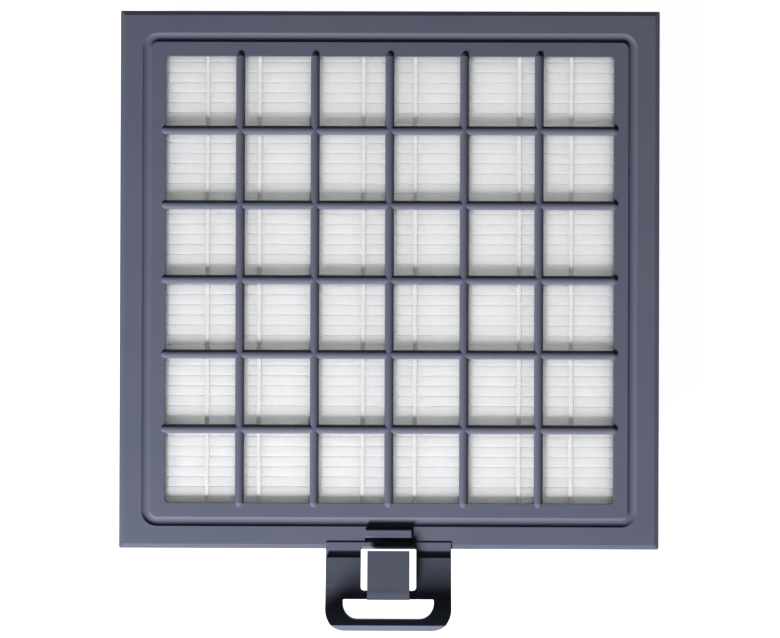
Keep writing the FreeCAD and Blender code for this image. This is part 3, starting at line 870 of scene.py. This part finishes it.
@dataclass
class FoamRing:
    """The foam ring behind the flange: a die-cut strip with soft edges that bulges a little.

    Attributes:
        material: The finish of the foam.
        width_mm: Width of the strip.
        inner_round_mm: Radius of the ring's inner corners.
        edge_round_mm: Radius of the strip's soft edges.
        corner_steps: Steps round a corner of the ring.
        side_steps: Steps along a side.
        soft_steps: Steps round a soft edge.
        ripple_mm: How far the free face is uneven.
        pull_in: Share by which the strip is narrower at its free face.
    """

    CORNERS = ((1, 1), (-1, 1), (-1, -1), (1, -1))

    material: bpy.types.Material
    width_mm: float = 5.5
    inner_round_mm: float = 3.2
    edge_round_mm: float = 0.45
    corner_steps: int = 12
    side_steps: int = 60
    soft_steps: int = 3
    ripple_mm: float = 0.05
    pull_in: float = 0.01

    def corner_centre(self, low: Vector, high: Vector, signs: tuple[int, int]) -> Vector:
        """Find the centre of a rounded corner of the middle line.

        Args:
            low: Lowest corner of the ring's box.
            high: Highest corner of the ring's box.
            signs: On which side the corner lies, along X and along Y.

        Returns:
            The centre.
        """
        inset = self.width_mm * MM + self.inner_round_mm * MM
        across = (high.x if signs[0] > 0 else low.x) - signs[0] * inset
        along = (high.y if signs[1] > 0 else low.y) - signs[1] * inset
        return Vector((across, along, 0))

    def middle_line(self, low: Vector, high: Vector) -> list[tuple[Vector, Vector]]:
        """Follow the middle of the ring.

        Args:
            low: Lowest corner of the ring's box.
            high: Highest corner of the ring's box.

        Returns:
            Places on the line, each with the direction that points outwards.
        """
        radius = self.inner_round_mm * MM + self.width_mm * MM / 2
        line: list[tuple[Vector, Vector]] = []
        centres = [self.corner_centre(low, high, signs) for signs in self.CORNERS]
        for number, centre in enumerate(centres):
            for step in range(self.corner_steps + 1):
                angle = math.radians(90 * (number + step / self.corner_steps))
                outward = Vector((math.cos(angle), math.sin(angle), 0))
                line.append((centre + outward * radius, outward))
            next_centre = centres[(number + 1) % len(centres)]
            for step in range(1, self.side_steps):
                place = centre.lerp(next_centre, step / self.side_steps) + outward * radius
                line.append((place, outward))
        return line

    def section(self, height: float) -> Line:
        """Draw the strip's section, a rectangle with soft edges.

        Args:
            height: Height of the strip.

        Returns:
            Places across and up.
        """
        half, soft = self.width_mm * MM / 2, self.edge_round_mm * MM
        points: Line = []
        for number, (sign_x, sign_z) in enumerate(self.CORNERS):
            for step in range(self.soft_steps + 1):
                angle = math.radians(90 * (number + step / self.soft_steps))
                across = sign_x * (half - soft) + soft * math.cos(angle)
                up = height / 2 + sign_z * (height / 2 - soft) + soft * math.sin(angle)
                points.append((across, up))
        return points

    def build(self) -> bpy.types.Object:
        """Build the ring.

        Returns:
            The piece, riding on the root body in place of its CAD node.
        """
        low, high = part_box("flange_gasket")
        line = self.middle_line(low, high)
        section = self.section(high.z - low.z)
        corners = []
        for place, outward in line:
            for across, up in section:
                free = max(0.0, 1 - up / (high.z - low.z))
                ripple = self.ripple_mm * MM * free * wander(place.x * 90, place.y * 90, up * 400)
                spot = place + outward * (across * (1 - self.pull_in * free) + ripple)
                corners.append((spot.x, spot.y, low.z + up + max(0.0, ripple)))
        faces = grid_faces(len(line), len(section), wrap_rows=True, wrap_columns=True, flip=True)
        piece = new_mesh("foam_ring", np.array(corners), faces)
        piece.data.materials.append(self.material)
        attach(piece, "root")
        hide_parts("flange_gasket")
        return piece


@dataclass
class FilterPack:
    """Everything that is glued into the frame: paper, threads and seals."""

    thread_count: int = 8
    paper: FilterPaper = FilterPaper()
    hot_melt: ClearGlue = ClearGlue("hot_melt", (0.74, 0.74, 0.745), (0.78, 0.78, 0.78), 0.8)
    potting: ClearGlue = ClearGlue("potting_glue", (0.74, 0.72, 0.62), (0.84, 0.83, 0.78), 2.2)

    def build(self) -> list[bpy.types.Object]:
        """Build all pieces of the pack.

        Returns:
            The pieces.
        """
        low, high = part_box("pleated_media")
        threads = [f"front_separator_bead_{number}" for number in range(1, self.thread_count + 1)]
        middles = [sum(corner.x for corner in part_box(node)) / 2 for node in threads]
        paper = FoldedPaper(low, high, self.paper.build(), thread_places=middles)
        pieces = [paper.build()]
        hot_melt = self.hot_melt.build()
        for node in threads:
            pieces.append(GlueThread(node, Face.FRONT, paper, hot_melt).build())
            pieces.append(GlueThread(node.replace("front", "rear"), Face.REAR, paper, hot_melt).build())
        potting = self.potting.build()
        for name in ("left_end", "right_end", "top_edge", "bottom_edge"):
            pieces.append(CastSeal(f"{name}_seal", potting).build())
        return pieces


@dataclass
class MouldedFrame:
    """The frame with its grille, tab and latch: the CAD node, dressed in plastic."""

    node: bpy.types.Object

    def dress(self) -> bpy.types.Object:
        """Give the frame its material.

        Returns:
            The frame.
        """
        self.node.data.materials.clear()
        self.node.data.materials.append(MouldedPlastic().build())
        return self.node


@dataclass(frozen=True)
class Lamp:
    """One soft studio lamp.

    Attributes:
        name: Its name.
        place: Where it hangs, in metres.
        aim: What it points at.
        width: Its diameter, in metres.
        watts: Its power.
        colour: The colour of its light.
        lit_pieces: The only pieces that it lights, or none for all.
    """

    name: str
    place: Triple
    aim: Triple
    width: float
    watts: float
    colour: Colour = WHITE
    lit_pieces: tuple[bpy.types.Object, ...] = ()

    def build(self) -> None:
        """Hang the lamp and turn it to what it lights: the pieces named, or all where none are."""
        light = bpy.data.lights.new(self.name, "AREA")
        light.shape = "DISK"
        light.size = self.width
        light.energy = self.watts
        light.color = self.colour
        lamp = bpy.data.objects.new(self.name, light)
        lamp.location = self.place
        lamp.rotation_euler = (Vector(self.aim) - Vector(self.place)).to_track_quat("-Z", "Y").to_euler()
        bpy.context.scene.collection.objects.link(lamp)
        if self.lit_pieces:
            receivers = bpy.data.collections.new(f"{self.name}_receivers")
            for piece in self.lit_pieces:
                receivers.objects.link(piece)
            lamp.light_linking.receiver_collection = receivers


@dataclass
class Studio:
    """Camera, lamps, white surroundings and a pale floor that keeps a faint shadow.

    Attributes:
        pack: The pieces of the filter pack, which a lamp of its own lights.
        frame_px: Width of the picture.
        focal_px: Focal length in pixels of that picture.
        camera_place_mm: Where the camera is.
        camera_turn_deg: How it departs from looking straight down, as a rotation vector.
        sensor_mm: Width of the sensor.
        aim: Where the lamps point, in metres.
        ambient: Colour of the light from all round.
        ambient_strength: Its strength.
        floor_glow: White of the floor where it is seen.
        floor_grey: The floor's own colour, for the light that it throws back.
        seen_grey: Its colour where it is seen. It adds to the glow, and a shadow takes it away.
        floor_half_m: Half the width of the floor.
    """

    pack: tuple[bpy.types.Object, ...] = ()
    frame_px: float = 780
    focal_px: float = 2326.0
    camera_place_mm: Triple = (5.06, -3.215, 725.0)
    camera_turn_deg: Triple = (-0.256, -0.395, -0.174)
    sensor_mm: float = 36
    aim: Triple = (0.0, 0.012, 0.025)
    ambient: Colour = (0.85, 0.92, 1.0)
    ambient_strength: float = 0.006
    floor_glow: float = 0.985
    floor_grey: float = 0.5
    seen_grey: float = 0.36
    floor_half_m: float = 3

    def add_camera(self) -> None:
        """Set up the camera where the picture was taken."""
        lens = bpy.data.cameras.new("camera")
        lens.sensor_width = self.sensor_mm
        lens.sensor_fit = "HORIZONTAL"
        lens.lens = self.focal_px * self.sensor_mm / self.frame_px
        camera = bpy.data.objects.new("camera", lens)
        turn = Vector([math.radians(angle) for angle in self.camera_turn_deg])
        world_to_camera = Matrix.Rotation(turn.length, 4, turn.normalized())
        place = Matrix.Translation(Vector(self.camera_place_mm) * MM)
        camera.matrix_world = place @ world_to_camera.transposed()
        bpy.context.scene.collection.objects.link(camera)
        bpy.context.scene.camera = camera

    def add_lamps(self) -> None:
        """Hang the lamps: a low key lamp from the lower left, and a weak one above for the pack alone.

        The second stands for the light that real folds pass on to each other, deep in the pack.
        """
        Lamp("key", (-0.30, -0.71, 0.435), self.aim, 0.25, 16.0).build()
        Lamp("pack_glow", (0.13, 0.20, 0.38), self.aim, 0.3, 0.71, (1.0, 1.0, 0.965), self.pack).build()

    @staticmethod
    def seen_directly(tree: bpy.types.NodeTree) -> bpy.types.NodeSocket:
        """Add nodes that tell whether a surface is seen directly, mirrored or through glass.

        Args:
            tree: The node tree that they go into.

        Returns:
            The socket that is 1 where it is.
        """
        path = tree.nodes.new("ShaderNodeLightPath")
        total = path.outputs["Is Camera Ray"]
        for name in ("Is Glossy Ray", "Is Transmission Ray"):
            larger = tree.nodes.new("ShaderNodeMath")
            larger.operation = "MAXIMUM"
            tree.links.new(total, larger.inputs[0])
            tree.links.new(path.outputs[name], larger.inputs[1])
            total = larger.outputs[0]
        return total

    def add_world(self) -> None:
        """Surround the scene with white that lights the object only weakly."""
        world = bpy.data.worlds.new("surroundings")
        world.use_nodes = True
        tree = world.node_tree
        tree.nodes.clear()
        output = tree.nodes.new("ShaderNodeOutputWorld")
        weak = tree.nodes.new("ShaderNodeBackground")
        weak.inputs["Color"].default_value = (*self.ambient, 1)
        weak.inputs["Strength"].default_value = self.ambient_strength
        white = tree.nodes.new("ShaderNodeBackground")
        white.inputs["Color"].default_value = (*WHITE, 1)
        white.inputs["Strength"].default_value = 1
        mix = tree.nodes.new("ShaderNodeMixShader")
        tree.links.new(self.seen_directly(tree), mix.inputs[0])
        tree.links.new(weak.outputs[0], mix.inputs[1])
        tree.links.new(white.outputs[0], mix.inputs[2])
        tree.links.new(mix.outputs[0], output.inputs["Surface"])
        bpy.context.scene.world = world

    def add_floor(self) -> None:
        """Lay the floor: white where it is lit, a little darker in the object's shadow."""
        half = self.floor_half_m
        corners = np.array([(-half, -half, 0), (half, -half, 0), (half, half, 0), (-half, half, 0)])
        floor = new_mesh("floor", corners, [(0, 1, 2, 3)], smooth=False)
        graph = NodeGraph("floor")
        plain = graph.add("ShaderNodeBsdfDiffuse")
        seen = graph.add("ShaderNodeBsdfDiffuse")
        for shader, grey in ((plain, self.floor_grey), (seen, self.seen_grey)):
            shader.inputs["Color"].default_value = (grey, grey, grey, 1)
        glow = graph.add("ShaderNodeEmission")
        glow.inputs["Strength"].default_value = self.floor_glow
        both = graph.add("ShaderNodeAddShader")
        graph.join(seen.outputs[0], both.inputs[0])
        graph.join(glow.outputs[0], both.inputs[1])
        mix = graph.add("ShaderNodeMixShader")
        graph.join(self.seen_directly(graph.tree), mix.inputs[0])
        graph.join(plain.outputs[0], mix.inputs[1])
        graph.join(both.outputs[0], mix.inputs[2])
        graph.join(mix.outputs[0], graph.output.inputs["Surface"])
        floor.data.materials.append(graph.material)

    def build(self) -> None:
        """Build the whole studio."""
        self.add_camera()
        self.add_lamps()
        self.add_world()
        self.add_floor()
        bpy.context.scene.view_settings.view_transform = "Standard"


def main() -> None:
    """Dress the cassette and report each piece."""
    logging.basicConfig(level=logging.INFO, format="%(name)s: %(message)s")
    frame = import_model()
    LOG.info("dressed %s", MouldedFrame(frame["nodes"]["cassette_frame"]).dress().name)
    pack = FilterPack().build()
    for piece in (*pack, FoamRing(CellFoam().build()).build()):
        LOG.info("built %s with %d faces", piece.name, len(piece.data.polygons))
    Studio(pack=tuple(pack)).build()


if __name__ == "__main__":
    main()
